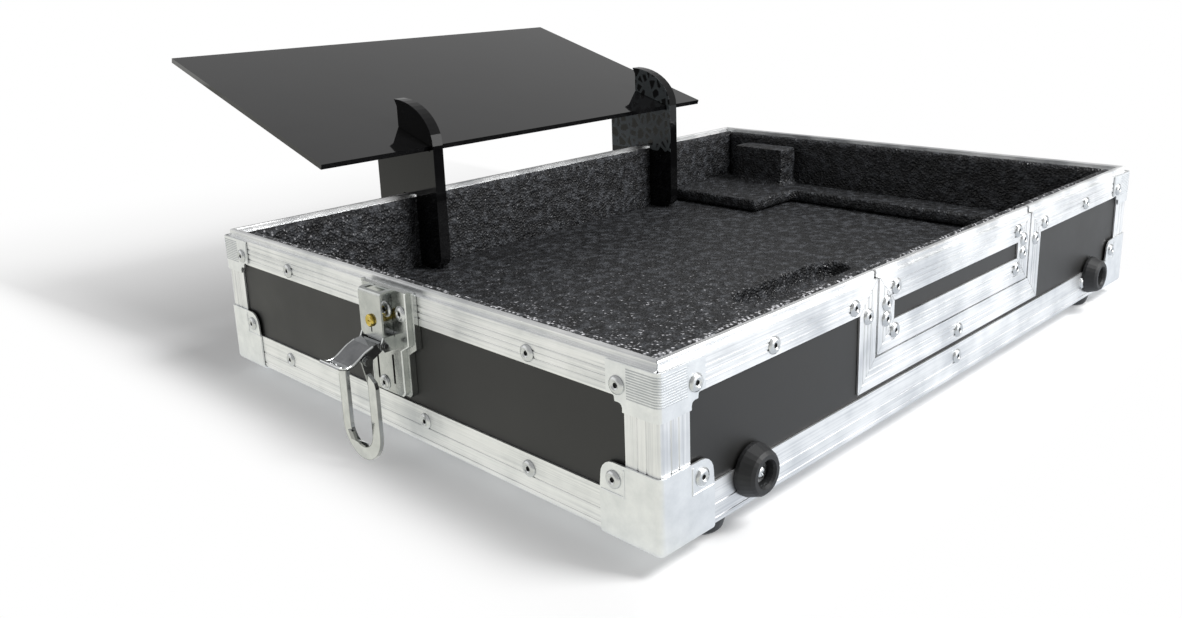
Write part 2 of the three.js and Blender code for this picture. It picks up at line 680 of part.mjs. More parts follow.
for (const [name, sign] of [['left', -1], ['right', 1]]) {
  const at = (o, y, z) => [sign * (halfLength + o), latchY + y, rimBottom + z];
  const bar = (o0, o1, y0, y1, z0, z1) => closed(
    new THREE.BoxGeometry(o1 - o0, y1 - y0, z1 - z0).translate(
      sign * (halfLength + (o0 + o1) / 2), latchY + (y0 + y1) / 2, rimBottom + (z0 + z1) / 2,
    ),
  );
  const both = (build) => [build(1), build(-1)];
  const spanned = (o0, o1, y0, y1, z0, z1) => both((turn) => bar(
    o0, o1, Math.min(turn * y0, turn * y1), Math.max(turn * y0, turn * y1), z0, z1,
  ));
  const pressed = (grow, o0, o1) => prism(plateOutline(grow), (y, z, end) => at(end ? o1 : o0, y, z));
  const lugPlate = (turn) => prism([
    [plateBack, hingeZ - lugBelow], [lugAxisOut, hingeZ - lugBelow],
    ...arc(lugAxisOut, hingeZ, hubRadius, -60, 60, 4),
    [lugAxisOut, hingeZ + lugAbove], [plateBack, hingeZ + lugAbove],
  ], (o, z, end) => at(o, turn * (end ? lugInner + lugThickness : lugInner), z));
  const pressing = joined(
    [pressed(flangeWidth, panFoot, flangeFront), pressed(0, panFoot, plateFront)],
    [
      pressed(flangeWidth - plateThickness, panFoot - gap, flangeFront - plateThickness),
      pressed(-plateThickness, panFoot - gap, plateBack),
      bar(panFoot - gap, gap, -caseDepth, caseDepth, -gap, upperTopZ + gap),
    ],
  );
  add(`latch_${name}_base`, joined([
    pressing,
    prism(lockCover, (o, z, end) => at(o, end ? lockHalf : -lockHalf, z)),
    ...both(lugPlate),
  ], [
    bar(plateBack - gap, plateFront + gap, slitY - slitHalf, slitY + slitHalf, upperBottomZ + slitMargin, upperTopZ - slitMargin),
    bar(
      plateFront + lockSlotBack, lockFront - lockSlotFront, lockSlotInset - lockHalf, lockHalf - lockSlotInset,
      lockTopZ - plateThickness * 2, lockTopZ + gap,
    ),
    crossBar(at, hingeOut, hingeZ, hingeRadius + pinClear, -lugInner - lugThickness * 2, lugInner + lugThickness * 2),
    ...spanned(plateBack - gap, plateFront + gap, slotY - slotHalf, slotY + slotHalf, slotBottomZ, slotBottomZ + slotLength),
    bar(lockFront - plateThickness * 2, lockFront + gap, -keyHalf, keyHalf, barrelZ - keyDrop, barrelZ),
    placed(new THREE.CylinderGeometry(
      barrelRadius + pinClear, barrelRadius + pinClear, plateThickness * 4, smallTurnParts,
    ), (a, b, c) => at(lockFront + b, a, barrelZ + c)),
  ]), plated);
  const barrelProfile = [
    [0, barrelBack], [barrelRadius, barrelBack], [barrelRadius, lockFront + gap],
    [barrelRim, lockFront + gap], [barrelRim, lockFront + gap + barrelRimThickness],
    [barrelRadius, barrelFront], [0, barrelFront],
  ].map(([r, h]) => new THREE.Vector2(r, h));
  add(`latch_${name}_lock_barrel`, placed(
    new THREE.LatheGeometry(barrelProfile, smallTurnParts), (a, b, c) => at(b, a, barrelZ + c),
  ), brass);

  const cheekOutline = [
    [hingeOut, hingeZ - hubRadius], ...arc(pivotOut, pivotZ, cheekRadius, -100, 30, 5),
    ...leverLine(leverThickness / 2, cheekParts).reverse(),
  ];
  const cheek = (turn) => prism(cheekOutline, (o, z, end) => at(
    o, turn * (end ? leverHalf : leverHalf - cheekThickness), z,
  ));
  add(`latch_${name}_lever`, joined([
    prism(leverOutline, (o, z, end) => at(o, end ? leverHalf : -leverHalf, z)),
    ...both(cheek),
    crossBar(at, hingeOut, hingeZ, hubRadius, -leverHalf, leverHalf),
    crossBar(at, hingeOut, hingeZ, hingeRadius, -lugInner - lugThickness * 2, lugInner + lugThickness * 2),
  ], [
    crossBar(at, pivotOut, pivotZ, pinRadius + pinClear, -leverHalf * 2, leverHalf * 2),
  ]), plated);

  add(`latch_${name}_bail_pin`, joined([
    crossBar(at, pivotOut, pivotZ, pinRadius, -pinHalf, pinHalf),
    crossBar(at, pivotOut, pivotZ, pinHeadRadius, pinHalf - pinHeadThickness, pinHalf),
    crossBar(at, pivotOut, pivotZ, pinHeadRadius, -pinHalf, pinHeadThickness - pinHalf),
  ]), plated);

  const bowZ = bailBottomZ + bailOuterHalf;
  const bailOutline = [
    [earInner, bailLegTopZ], [bailOuterHalf - earThickness, bailShoulderZ], [bailOuterHalf, bailShoulderZ - earRadius],
    ...arc(0, bowZ, bailOuterHalf, 0, -180, arcParts * 2),
    [-bailOuterHalf, bailShoulderZ - earRadius], [earThickness - bailOuterHalf, bailShoulderZ], [-earInner, bailLegTopZ],
    [-earInner, bailShoulderZ], [-bailInnerHalf, bailShoulderZ - earRadius],
    ...arc(0, bowZ, bailInnerHalf, 180, 360, arcParts * 2),
    [bailInnerHalf, bailShoulderZ - earRadius], [earInner, bailShoulderZ],
  ];
  const ear = (turn) => prism([
    [pivotOut - bailAxisOut, bailShoulderZ], [pivotOut + bailAxisOut, bailShoulderZ],
    ...arc(pivotOut, pivotZ, earRadius, -20, 200, 7),
  ], (o, z, end) => at(o, turn * (end ? earInner + earThickness : earInner), z));
  const hookZ = bowZ - bailInnerHalf;
  add(`latch_${name}_bail`, joined([
    prism(bailOutline, (y, z, end) => at(pivotOut + (end ? bailAxisOut : -bailAxisOut), y, z)),
    ...both(ear),
    bar(pivotOut - bailAxisOut, pivotOut + bailAxisOut, -hookHalf, hookHalf, hookZ - bailThickness, hookZ + hookThickness),
    prism([
      [pivotOut, hookZ], [pivotOut + hookReach, hookZ + hookRise / 2],
      [pivotOut + hookReach + hookThickness, hookZ + hookRise], [pivotOut + hookReach, hookZ + hookRise],
      [pivotOut + hookReach - hookThickness, hookZ + hookRise / 2], [pivotOut - bailAxisOut, hookZ + hookThickness],
      [pivotOut - bailAxisOut, hookZ],
    ], (o, z, end) => at(o, end ? hookHalf : -hookHalf, z)),
  ], [
    crossBar(at, pivotOut, pivotZ, pinRadius + pinClear, -bailOuterHalf, bailOuterHalf),
  ]), plated);
}

// Tilted shelf
const bracketRightX = ledgeWideX - bracketFromLedge - bracketThickness / 2;
const bracketLeftX = bracketRightX - bracketSpacing;
const bracketFrontY = sideLining - bracketInside;
const shelfX = bracketRightX + shelfOverhang - shelfLength / 2;
const shelfFrontY = bracketFrontY + bracketLip + gap;
const shelfFrontZ = shoulderZ + shelfFrontRise;
const tilt = THREE.MathUtils.degToRad(shelfTiltDegrees);
add('shelf', placed(
  new THREE.BoxGeometry(shelfLength, shelfDepth, shelfThickness),
  (a, b, c) => {
    const along = b + shelfDepth / 2;
    const up = c - shelfThickness / 2;
    return [
      shelfX + a,
      shelfFrontY + along * Math.cos(tilt) - up * Math.sin(tilt),
      shelfFrontZ + along * Math.sin(tilt) + up * Math.cos(tilt),
    ];
  },
), acrylic);

// Brackets that hang over the rear rim, stand on the foam floor and hold the shelf in a slot
const slotEndY = shelfFrontY - gap;
const shelfTopAt = (y) => shelfFrontZ + (y - shelfFrontY) * Math.tan(tilt) + gap;
const shelfUnderAt = (y) => shelfTopAt(y) - (shelfThickness + gap * 2) / Math.cos(tilt) - gap;
const saddleZ = shoulderZ + tongueRise + gap;
const bracketFoot = floorTop + gap;
const bracketInnerY = sideLining;
const bracketSaddleY = halfDepth + bracketClear;
const bracketRearY = halfDepth + bracketOutside;
const bracketTailZ = shoulderZ - bracketTail;
const hornHookZ = shelfFrontZ + hornHookRise;
const hornRearY = bracketFrontY + hornRearRun;
const hornCurve = arc(0, 0, unitShare, 90, 180, hornParts).map(([run, rise]) => [
  bracketFrontY + hornRun * (unitShare + run), shelfFrontZ + hornRise * rise,
]);
const bracketOutline = [
  [bracketFrontY, bracketFoot + bracketFootRound],
  ...arc(bracketFrontY + bracketFootRound, bracketFoot + bracketFootRound, bracketFootRound, 180, 270, arcParts).slice(1),
  [bracketInnerY, bracketFoot], [bracketInnerY, saddleZ], [bracketSaddleY, saddleZ],
  [bracketSaddleY, bracketTailZ],
  ...arc(bracketRearY - bracketRound, bracketTailZ + bracketRound, bracketRound, 270, 360, 4),
  [bracketRearY, shelfUnderAt(bracketRearY)], [slotEndY, shelfUnderAt(slotEndY)],
  [slotEndY, shelfTopAt(slotEndY)], [hornRearY, shelfTopAt(hornRearY)],
  [hornRearY, hornHookZ], ...hornCurve,
];
for (const [name, x] of [['left', bracketLeftX], ['right', bracketRightX]]) {
  add(`bracket_${name}`, prism(bracketOutline, (y, z, end) => [
    x + (end ? bracketThickness / 2 : -bracketThickness / 2), y, z,
  ]), acrylic);
}

export default model;
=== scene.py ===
import math

import bpy
from mathutils import Matrix, Vector


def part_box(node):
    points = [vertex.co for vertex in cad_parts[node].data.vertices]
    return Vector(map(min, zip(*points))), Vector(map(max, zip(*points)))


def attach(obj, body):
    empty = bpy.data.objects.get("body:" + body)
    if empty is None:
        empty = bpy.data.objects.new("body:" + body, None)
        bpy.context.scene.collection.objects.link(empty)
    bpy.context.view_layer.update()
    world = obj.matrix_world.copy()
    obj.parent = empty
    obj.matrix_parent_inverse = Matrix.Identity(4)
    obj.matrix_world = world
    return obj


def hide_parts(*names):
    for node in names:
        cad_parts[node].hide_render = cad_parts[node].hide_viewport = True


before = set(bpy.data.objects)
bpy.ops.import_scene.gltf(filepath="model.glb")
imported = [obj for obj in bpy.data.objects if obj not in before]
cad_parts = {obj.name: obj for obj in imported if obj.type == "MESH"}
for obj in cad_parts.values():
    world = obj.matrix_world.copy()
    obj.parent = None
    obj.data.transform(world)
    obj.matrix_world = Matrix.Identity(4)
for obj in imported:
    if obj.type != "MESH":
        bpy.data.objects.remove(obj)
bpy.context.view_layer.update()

# Sizes of the case, in metres, origin at the middle of the base panel's underside
HALF_LENGTH = 0.364
HALF_DEPTH = 0.260
FLOOR_Z = -0.016


# Colours and materials. Sizes in them are in metres; a pattern called coarse is drawn
# larger than the real one, which would not show from the camera.

def linear(hex_colour):
    """An sRGB hex colour as linear red, green, blue and alpha."""
    parts = [int(hex_colour[i:i + 2], 16) / 255 for i in (0, 2, 4)]
    return [p / 12.92 if p <= 0.04045 else ((p + 0.055) / 1.055) ** 2.4 for p in parts] + [1]


def put(tree, kind, settings=None, **inputs):
    """Adds a node with its settings and links.

    The setting "stops" gives a colour ramp's (place, hex colour) pairs. An input is a value, or a
    socket to link from; it is named with _ for a space, or i and its number.
    """
    made = tree.nodes.new(kind)
    for key, value in (settings or {}).items():
        if key == "stops":
            elements = made.color_ramp.elements
            while len(elements) < len(value):
                elements.new(0.5)
            for element, (place, colour) in zip(elements, value):
                element.position = place
                element.color = linear(colour)
        else:
            setattr(made, key, value)
    for key, value in inputs.items():
        numbered = key[0] == "i" and key[1:].isdigit()
        socket = made.inputs[int(key[1:]) if numbered else key.replace("_", " ")]
        if isinstance(value, bpy.types.NodeSocket):
            tree.links.new(value, socket)
        else:
            socket.default_value = value
    return made


def material(name, roughness, metallic=0.0, **sockets):
    """A new material with its uniform values on the shader's own sockets."""
    made = bpy.data.materials.new(name)
    made.use_nodes = True
    shader = made.node_tree.nodes["Principled BSDF"]
    shader.inputs["Roughness"].default_value = roughness
    shader.inputs["Metallic"].default_value = metallic
    for key, value in sockets.items():
        shader.inputs[key.replace("_", " ")].default_value = value
    return made, made.node_tree, shader


def feed(shader, **sources):
    """Links each source to the shader's socket of that name."""
    for key, source in sources.items():
        shader.id_data.links.new(source, shader.inputs[key.replace("_", " ")])


def mill_aluminium(name, along):
    """Extruded 6063 aluminium, mill finish: faint draw lines run along the section, soft bright and dull areas."""
    line, run, area = 0.0012, 0.12, 0.045  # the lines' spacing is coarse
    mat, tree, shader = material(name, 0.42, 1.0)
    place = put(tree, "ShaderNodeTexCoord").outputs["Object"]
    stretch = [1 / line] * 3
    stretch["xyz".index(along)] = 1 / run
    drawn = put(tree, "ShaderNodeMapping", Vector=place, Scale=stretch)
    lines = put(
        tree, "ShaderNodeTexNoise",
        Vector=drawn.outputs["Vector"], Scale=1.0, Detail=4.0, Roughness=0.65,
    )
    cloud = put(tree, "ShaderNodeTexNoise", Vector=place, Scale=1 / area, Detail=3.0, Roughness=0.55)
    streaks = put(
        tree, "ShaderNodeMath", {"operation": "MULTIPLY"},
        i0=lines.outputs["Fac"], i1=cloud.outputs["Fac"],
    )
    tone = put(
        tree, "ShaderNodeValToRGB", {"stops": [(0.13, "D0D2D4"), (0.26, "ECEDED"), (0.43, "FAFAFA")]},
        Fac=streaks.outputs["Value"],
    )
    feed(shader, Base_Color=tone.outputs["Color"])
    rough = put(
        tree, "ShaderNodeMapRange",
        Value=cloud.outputs["Fac"], i1=0.3, i2=0.7, i3=0.34, i4=0.52,
    )
    feed(shader, Roughness=rough.outputs["Result"])
    bump = put(tree, "ShaderNodeBump", Height=lines.outputs["Fac"], Strength=0.18, Distance=0.0002)
    feed(shader, Normal=bump.outputs["Normal"])
    return mat


def zinc_plate(name, low, middle, high, roughness):
    """Pressed steel with a satin zinc plate: soft cloudy spangle 11 mm across, fine rub marks."""
    spangle, rub, spread = 0.011, 0.0011, 0.07
    mat, tree, shader = material(name, roughness, 1.0)
    place = put(tree, "ShaderNodeTexCoord").outputs["Object"]
    cloud = put(tree, "ShaderNodeTexNoise", Vector=place, Scale=1 / spangle, Detail=5.0, Roughness=0.6)
    rubs = put(tree, "ShaderNodeTexNoise", Vector=place, Scale=1 / rub, Detail=3.0, Roughness=0.7)
    tone = put(
        tree, "ShaderNodeValToRGB", {"stops": [(0.25, low), (0.5, middle), (0.75, high)]},
        Fac=cloud.outputs["Fac"],
    )
    feed(shader, Base_Color=tone.outputs["Color"])
    rough = put(
        tree, "ShaderNodeMapRange",
        Value=rubs.outputs["Fac"], i1=0.3, i2=0.7, i3=roughness - spread, i4=roughness + spread,
    )
    feed(shader, Roughness=rough.outputs["Result"])
    bump = put(tree, "ShaderNodeBump", Height=rubs.outputs["Fac"], Strength=0.08, Distance=0.0002)
    feed(shader, Normal=bump.outputs["Normal"])
    return mat


def nickel_plate(name, low, high, roughness):
    """Bright nickel plate over pressed steel: near mirror, with slight orange peel 1.5 mm across and a faint haze."""
    peel_size, haze_size = 0.0015, 0.012
    mat, tree, shader = material(name, roughness, 1.0)
    place = put(tree, "ShaderNodeTexCoord").outputs["Object"]
    peel = put(tree, "ShaderNodeTexNoise", Vector=place, Scale=1 / peel_size, Detail=2.0, Roughness=0.5)
    haze = put(tree, "ShaderNodeTexNoise", Vector=place, Scale=1 / haze_size, Detail=4.0, Roughness=0.6)
    tone = put(tree, "ShaderNodeValToRGB", {"stops": [(0.3, low), (0.7, high)]}, Fac=haze.outputs["Fac"])
    feed(shader, Base_Color=tone.outputs["Color"])
    rough = put(
        tree, "ShaderNodeMapRange",
        Value=haze.outputs["Fac"], i1=0.3, i2=0.75, i3=roughness * 0.7, i4=roughness * 1.5,
    )
    feed(shader, Roughness=rough.outputs["Result"])
    bump = put(tree, "ShaderNodeBump", Height=peel.outputs["Fac"], Strength=0.05, Distance=0.0002)
    feed(shader, Normal=bump.outputs["Normal"])
    return mat


# The left and right latches share their middle line in Y
LATCH_Y = 0.0045


def bail_nickel():
    """Bright nickel plate on the bails, with a painted reflection: a dark line along each rounded edge stands for the
    dark case mirrored there.
    """
    bow_z, strip_middle = 0.0128, 0.0195  # centre of the bow, and the strip's middle line from it
    reflection_start, reflection_full = 0.0042, 0.0048  # from that middle line
    mat = nickel_plate("bright_nickel_plate_bail_painted_reflection", "C2C4C4", "D6D8D7", 0.1)
    tree = mat.node_tree
    shader = tree.nodes["Principled BSDF"]
    tone = shader.inputs["Base Color"].links[0].from_socket
    place = put(tree, "ShaderNodeSeparateXYZ", Vector=put(tree, "ShaderNodeTexCoord").outputs["Object"])
    across = put(tree, "ShaderNodeMath", {"operation": "SUBTRACT"}, i0=place.outputs["Y"], i1=LATCH_Y)
    below = put(tree, "ShaderNodeMath", {"operation": "SUBTRACT"}, i0=place.outputs["Z"], i1=bow_z)
    bow = put(tree, "ShaderNodeMath", {"operation": "MINIMUM"}, i0=below.outputs["Value"], i1=0.0)
    spot = put(tree, "ShaderNodeCombineXYZ", X=across.outputs["Value"], Y=bow.outputs["Value"])
    reach = put(tree, "ShaderNodeVectorMath", {"operation": "LENGTH"}, i0=spot.outputs["Vector"])
    middle = put(
        tree, "ShaderNodeMath", {"operation": "SUBTRACT"},
        i0=reach.outputs["Value"], i1=strip_middle,
    )
    off = put(tree, "ShaderNodeMath", {"operation": "ABSOLUTE"}, i0=middle.outputs["Value"])
    edge = put(
        tree, "ShaderNodeMapRange",
        Value=off.outputs["Value"], i1=reflection_start, i2=reflection_full, i3=0.0, i4=0.6,
    )
    # Painted reflection: the dark line of the mirrored case is mixed into the base colour
    painted_reflection_tone = put(
        tree, "ShaderNodeMix", {"data_type": "RGBA"},
        Factor=edge.outputs["Result"], i6=tone, i7=linear("3A3C3D"),
    )
    feed(shader, Base_Color=painted_reflection_tone.outputs[2])
    return mat


def black_laminate():
    """High pressure laminate on ply, satin black: very fine pebble 0.6 mm across, faint dust haze."""
    pebble_size, haze_size = 0.0006, 0.06
    mat, tree, shader = material("black_laminate_satin", 0.45, 0.0, IOR=1.5)
    place = put(tree, "ShaderNodeTexCoord").outputs["Object"]
    pebble = put(tree, "ShaderNodeTexNoise", Vector=place, Scale=1 / pebble_size, Detail=2.0, Roughness=0.6)
    haze = put(tree, "ShaderNodeTexNoise", Vector=place, Scale=1 / haze_size, Detail=4.0, Roughness=0.6)
    tone = put(
        tree, "ShaderNodeValToRGB", {"stops": [(0.3, "171716"), (0.7, "1F1F1E")]},
        Fac=haze.outputs["Fac"],
    )
    feed(shader, Base_Color=tone.outputs["Color"])
    rough = put(tree, "ShaderNodeMapRange", Value=haze.outputs["Fac"], i1=0.3, i2=0.7, i3=0.4, i4=0.5)
    feed(shader, Roughness=rough.outputs["Result"])
    bump = put(tree, "ShaderNodeBump", Height=pebble.outputs["Fac"], Strength=0.12, Distance=0.0002)
    feed(shader, Normal=bump.outputs["Normal"])
    return mat


def cut_foam():
    """Charcoal closed-cell polyethylene foam: sawn cells, with painted highlights as white glints in the base colour,
    more towards the front left and most on the front and left top edges.
    """
    cell, lump = 0.0024, 0.0085  # the cells are coarse
    edge_z, rear_y = 0.108, 0.225  # the top edges' painted glints lie above the one and in front of the other
    mat, tree, shader = material("charcoal_closed_cell_foam", 0.6, 0.0, IOR=1.5)
    place = put(tree, "ShaderNodeTexCoord").outputs["Object"]
    cells = put(tree, "ShaderNodeTexVoronoi", {"feature": "F1"}, Vector=place, Scale=1 / cell)
    lumps = put(tree, "ShaderNodeTexNoise", Vector=place, Scale=1 / lump, Detail=2.5, Roughness=0.6)
    split = put(tree, "ShaderNodeSeparateColor", Color=cells.outputs["Color"])
    # Painted highlights: the glints' place is set by position, more towards the front left and along the front and
    # left top edges
    near = put(
        tree, "ShaderNodeVectorMath", {"operation": "DOT_PRODUCT"},
        i0=place, i1=(-0.44, -0.40, 0.0),
    )
    spot = put(tree, "ShaderNodeSeparateXYZ", Vector=place)
    top = put(tree, "ShaderNodeMath", {"operation": "GREATER_THAN"}, i0=spot.outputs["Z"], i1=edge_z)
    ahead = put(tree, "ShaderNodeMath", {"operation": "LESS_THAN"}, i0=spot.outputs["Y"], i1=rear_y)
    edge = put(
        tree, "ShaderNodeMath", {"operation": "MULTIPLY"},
        i0=top.outputs["Value"], i1=ahead.outputs["Value"],
    )
    more = put(
        tree, "ShaderNodeMapRange",
        Value=near.outputs["Value"], i1=-0.09, i2=0.06, i3=0.0, i4=0.3,
    )
    on_edge = put(
        tree, "ShaderNodeMath", {"operation": "MULTIPLY_ADD"},
        i0=edge.outputs["Value"], i1=more.outputs["Result"], i2=near.outputs["Value"],
    )
    chance = put(
        tree, "ShaderNodeMath", {"operation": "ADD"},
        i0=split.outputs["Red"], i1=on_edge.outputs["Value"],
    )
    lit = put(
        tree, "ShaderNodeMapRange",
        Value=chance.outputs["Value"], i1=0.89, i2=1.1, i3=0.0, i4=1.0,
    )
    sharp = put(tree, "ShaderNodeMath", {"operation": "POWER"}, i0=lit.outputs["Result"], i1=1.8)
    painted_glint_spot = put(
        tree, "ShaderNodeMapRange",
        Value=cells.outputs["Distance"], i1=0.25, i2=0.6, i3=1.0, i4=0.0,
    )
    painted_glint = put(
        tree, "ShaderNodeMath", {"operation": "MULTIPLY"},
        i0=sharp.outputs["Value"], i1=painted_glint_spot.outputs["Result"],
    )
    skin = put(
        tree, "ShaderNodeValToRGB", {"stops": [(0.34, "0A0A0C"), (0.5, "1E1F22"), (0.66, "46484C")]},
        Fac=lumps.outputs["Fac"],
    )
    # The painted glints are mixed into the base colour as near white
    tone = put(
        tree, "ShaderNodeMix", {"data_type": "RGBA"},
        Factor=painted_glint.outputs["Value"], i6=skin.outputs["Color"], i7=linear("E2E2E6"),
    )
    feed(shader, Base_Color=tone.outputs[2])
    rough = put(
        tree, "ShaderNodeMapRange",
        Value=split.outputs["Green"], i1=0.0, i2=1.0, i3=0.3, i4=0.85,
    )
    feed(shader, Roughness=rough.outputs["Result"])
    rough_cut = put(
        tree, "ShaderNodeMath", {"operation": "MULTIPLY_ADD"},
        i0=cells.outputs["Distance"], i1=0.5, i2=lumps.outputs["Fac"],
    )
    bump = put(tree, "ShaderNodeBump", Height=rough_cut.outputs["Value"], Strength=0.9, Distance=0.0034)
    feed(shader, Normal=bump.outputs["Normal"])
    return mat


def cast_acrylic(name, level):
    """Black cast acrylic sheet, flame polished: mirror gloss with a few faint hairline scuffs."""
    scuff_area = 0.05
    mat, tree, shader = material(name, 0.05, 0.0, IOR=1.49, Specular_IOR_Level=level)
    place = put(tree, "ShaderNodeTexCoord").outputs["Object"]
    scuff = put(tree, "ShaderNodeTexNoise", Vector=place, Scale=1 / scuff_area, Detail=6.0, Roughness=0.7)
    tone = put(
        tree, "ShaderNodeValToRGB", {"stops": [(0.3, "0B0B0C"), (0.7, "121213")]},
        Fac=scuff.outputs["Fac"],
    )
    feed(shader, Base_Color=tone.outputs["Color"])
    rough = put(tree, "ShaderNodeMapRange", Value=scuff.outputs["Fac"], i1=0.4, i2=0.8, i3=0.04, i4=0.12)
    feed(shader, Roughness=rough.outputs["Result"])
    return mat


def moulded_rubber():
    """Moulded black rubber, matte with a slight bloom and a mould texture 1.2 mm across."""
    grain_size, bloom_size = 0.0012, 0.014
    mat, tree, shader = material("black_moulded_rubber", 0.55, 0.0, IOR=1.52)
    place = put(tree, "ShaderNodeTexCoord").outputs["Object"]
    grain = put(tree, "ShaderNodeTexNoise", Vector=place, Scale=1 / grain_size, Detail=3.0, Roughness=0.6)
    bloom = put(tree, "ShaderNodeTexNoise", Vector=place, Scale=1 / bloom_size, Detail=3.0, Roughness=0.5)
    tone = put(
        tree, "ShaderNodeValToRGB", {"stops": [(0.3, "131415"), (0.7, "1D1E20")]},
        Fac=bloom.outputs["Fac"],
    )
    feed(shader, Base_Color=tone.outputs["Color"])
    bump = put(tree, "ShaderNodeBump", Height=grain.outputs["Fac"], Strength=0.15, Distance=0.0003)
    feed(shader, Normal=bump.outputs["Normal"])
    return mat


def shadowed_metal(name, colour, roughness):
    """The inside of a rivet's bore, in its own shadow: nearly black, with a dusty, uneven tone."""
    dust_size = 0.002
    mat, tree, shader = material(name, roughness, 0.0)
    place = put(tree, "ShaderNodeTexCoord").outputs["Object"]
    dust = put(tree, "ShaderNodeTexNoise", Vector=place, Scale=1 / dust_size, Detail=2.0)
    tone = put(
        tree, "ShaderNodeValToRGB", {"stops": [(0.3, colour), (0.8, "2A2A2A")]},
        Fac=dust.outputs["Fac"],
    )
    feed(shader, Base_Color=tone.outputs["Color"])
    return mat


def cell_pattern_acrylic():
    """Black acrylic; the right bracket's left face has a matte pattern of cells 10 by 13 mm above the rim; below it
    the face is left plain black as painted shade for the inside of the case.
    """
    cell, cell_high = 0.010, 0.013
    face_x, painted_shade_top_z = 0.1833, 0.115  # the pattern lies to the left of the one and above the other; below the other is painted shade
    mat, tree, shader = material("black_acrylic_cell_pattern", 0.08, 0.0, IOR=1.49, Specular_IOR_Level=0.28)
    place = put(tree, "ShaderNodeTexCoord").outputs["Object"]
    split = put(tree, "ShaderNodeSeparateXYZ", Vector=place)
    face = put(tree, "ShaderNodeMath", {"operation": "LESS_THAN"}, i0=split.outputs["X"], i1=face_x)
    above = put(tree, "ShaderNodeMath", {"operation": "GREATER_THAN"}, i0=split.outputs["Z"], i1=painted_shade_top_z)
    # Below the rim the pattern is left off, as painted shade
    where = put(
        tree, "ShaderNodeMath", {"operation": "MULTIPLY"},
        i0=face.outputs["Value"], i1=above.outputs["Value"],
    )
    grid = put(tree, "ShaderNodeMapping", Vector=place, Scale=(1 / cell, 1 / cell, 1 / cell_high))
    edge = put(
        tree, "ShaderNodeTexVoronoi", {"feature": "DISTANCE_TO_EDGE"},
        Vector=grid.outputs["Vector"], Scale=1.0,
    )
    line = put(
        tree, "ShaderNodeMapRange",
        Value=edge.outputs["Distance"], i1=0.11, i2=0.18, i3=1.0, i4=0.0,
    )
    amount = put(
        tree, "ShaderNodeMath", {"operation": "MULTIPLY"},
        i0=line.outputs["Result"], i1=where.outputs["Value"],
    )
    tone = put(
        tree, "ShaderNodeValToRGB", {"stops": [(0.0, "0C0C0D"), (1.0, "53585A")]},
        Fac=amount.outputs["Value"],
    )
    feed(shader, Base_Color=tone.outputs["Color"])
    rough = put(
        tree, "ShaderNodeMapRange",
        Value=amount.outputs["Value"], i1=0.0, i2=1.0, i3=0.06, i4=0.5,
    )
    feed(shader, Roughness=rough.outputs["Result"])
    return mat


ALUMINIUM = {axis: mill_aluminium(f"mill_aluminium_drawn_{axis}", axis) for axis in "xyz"}
ZINC = zinc_plate("zinc_plated_steel_pressed", "DCDFE0", "E7E9EA", "F1F3F3", 0.4)
# The ribs' zinc is a darker, rougher copy of the plate: painted shade on the pressed ribs
RIB_ZINC_PAINTED_SHADE = zinc_plate("zinc_plated_steel_ribs_painted_shade", "BFC2C5", "C9CCCE", "D3D5D7", 0.65)
NICKEL = nickel_plate("bright_nickel_plate", "ACAEAE", "C4C6C6", 0.1)
SATIN_NICKEL = nickel_plate("satin_nickel_plate", "ACAFAE", "C8CAC8", 0.18)
# The levers' plate is a darker copy of the nickel: a painted reflection of the dark surroundings it mirrors
NICKEL_PAINTED_DARK = nickel_plate("nickel_plate_painted_dark_reflection", "7E8082", "98999B", 0.1)
RIVET = nickel_plate("zinc_plated_rivet_head", "C2C4C5", "DADCDC", 0.26)
# The beads' plate is a lighter copy of the nickel: a painted highlight along the rolled edges
EDGE_NICKEL_PAINTED_HIGHLIGHT = nickel_plate("nickel_plate_edge_painted_highlight", "DCDEDE", "F0F2F2", 0.16)
BAIL_NICKEL = bail_nickel()
BRASS = nickel_plate("polished_lock_brass", "AE9334", "D2BB63", 0.12)
LAMINATE = black_laminate()
FOAM = cut_foam()
ACRYLIC = cast_acrylic("black_cast_acrylic", 0.5)
BRACKET = cast_acrylic("black_cast_acrylic_scuffed", 0.28)
RUBBER = moulded_rubber()
BORE = shadowed_metal("shadowed_bore", "0A0A0A", 0.7)
CELLS = cell_pattern_acrylic()

# Finish of each CAD node, by the longest of these that its name starts with
NODE_FINISH = {
    "base_panel": LAMINATE, "wall_": LAMINATE, "access_board": LAMINATE,
    "bottom_edge_front": ALUMINIUM["x"], "bottom_edge_rear": ALUMINIUM["x"],
    "bottom_edge_left": ALUMINIUM["y"], "bottom_edge_right": ALUMINIUM["y"],
    "corner_post": ALUMINIUM["z"],
    "rim_rear": ALUMINIUM["x"], "rim_front": ALUMINIUM["x"],
    "rim_left": ALUMINIUM["y"], "rim_right": ALUMINIUM["y"],
    "access_leg": ALUMINIUM["z"], "access_sill": ALUMINIUM["x"],
    "access_rail_top": ALUMINIUM["x"], "access_rail_bottom": ALUMINIUM["x"],
    "access_rail_left": ALUMINIUM["z"], "access_rail_right": ALUMINIUM["z"],
    "rim_brace": ZINC, "base_brace": ZINC,
    "bumper": RUBBER, "foot": RUBBER,
    "shelf": ACRYLIC, "bracket": BRACKET, "bracket_right": CELLS,
    "foam": FOAM, "access_foam": FOAM,
}
for side in ("left", "right"):
    NODE_FINISH |= {
        f"latch_{side}_base": SATIN_NICKEL, f"latch_{side}_lock_barrel": BRASS,
        f"latch_{side}_lever": NICKEL_PAINTED_DARK,
        f"latch_{side}_bail": BAIL_NICKEL, f"latch_{side}_bail_pin": NICKEL,
    }
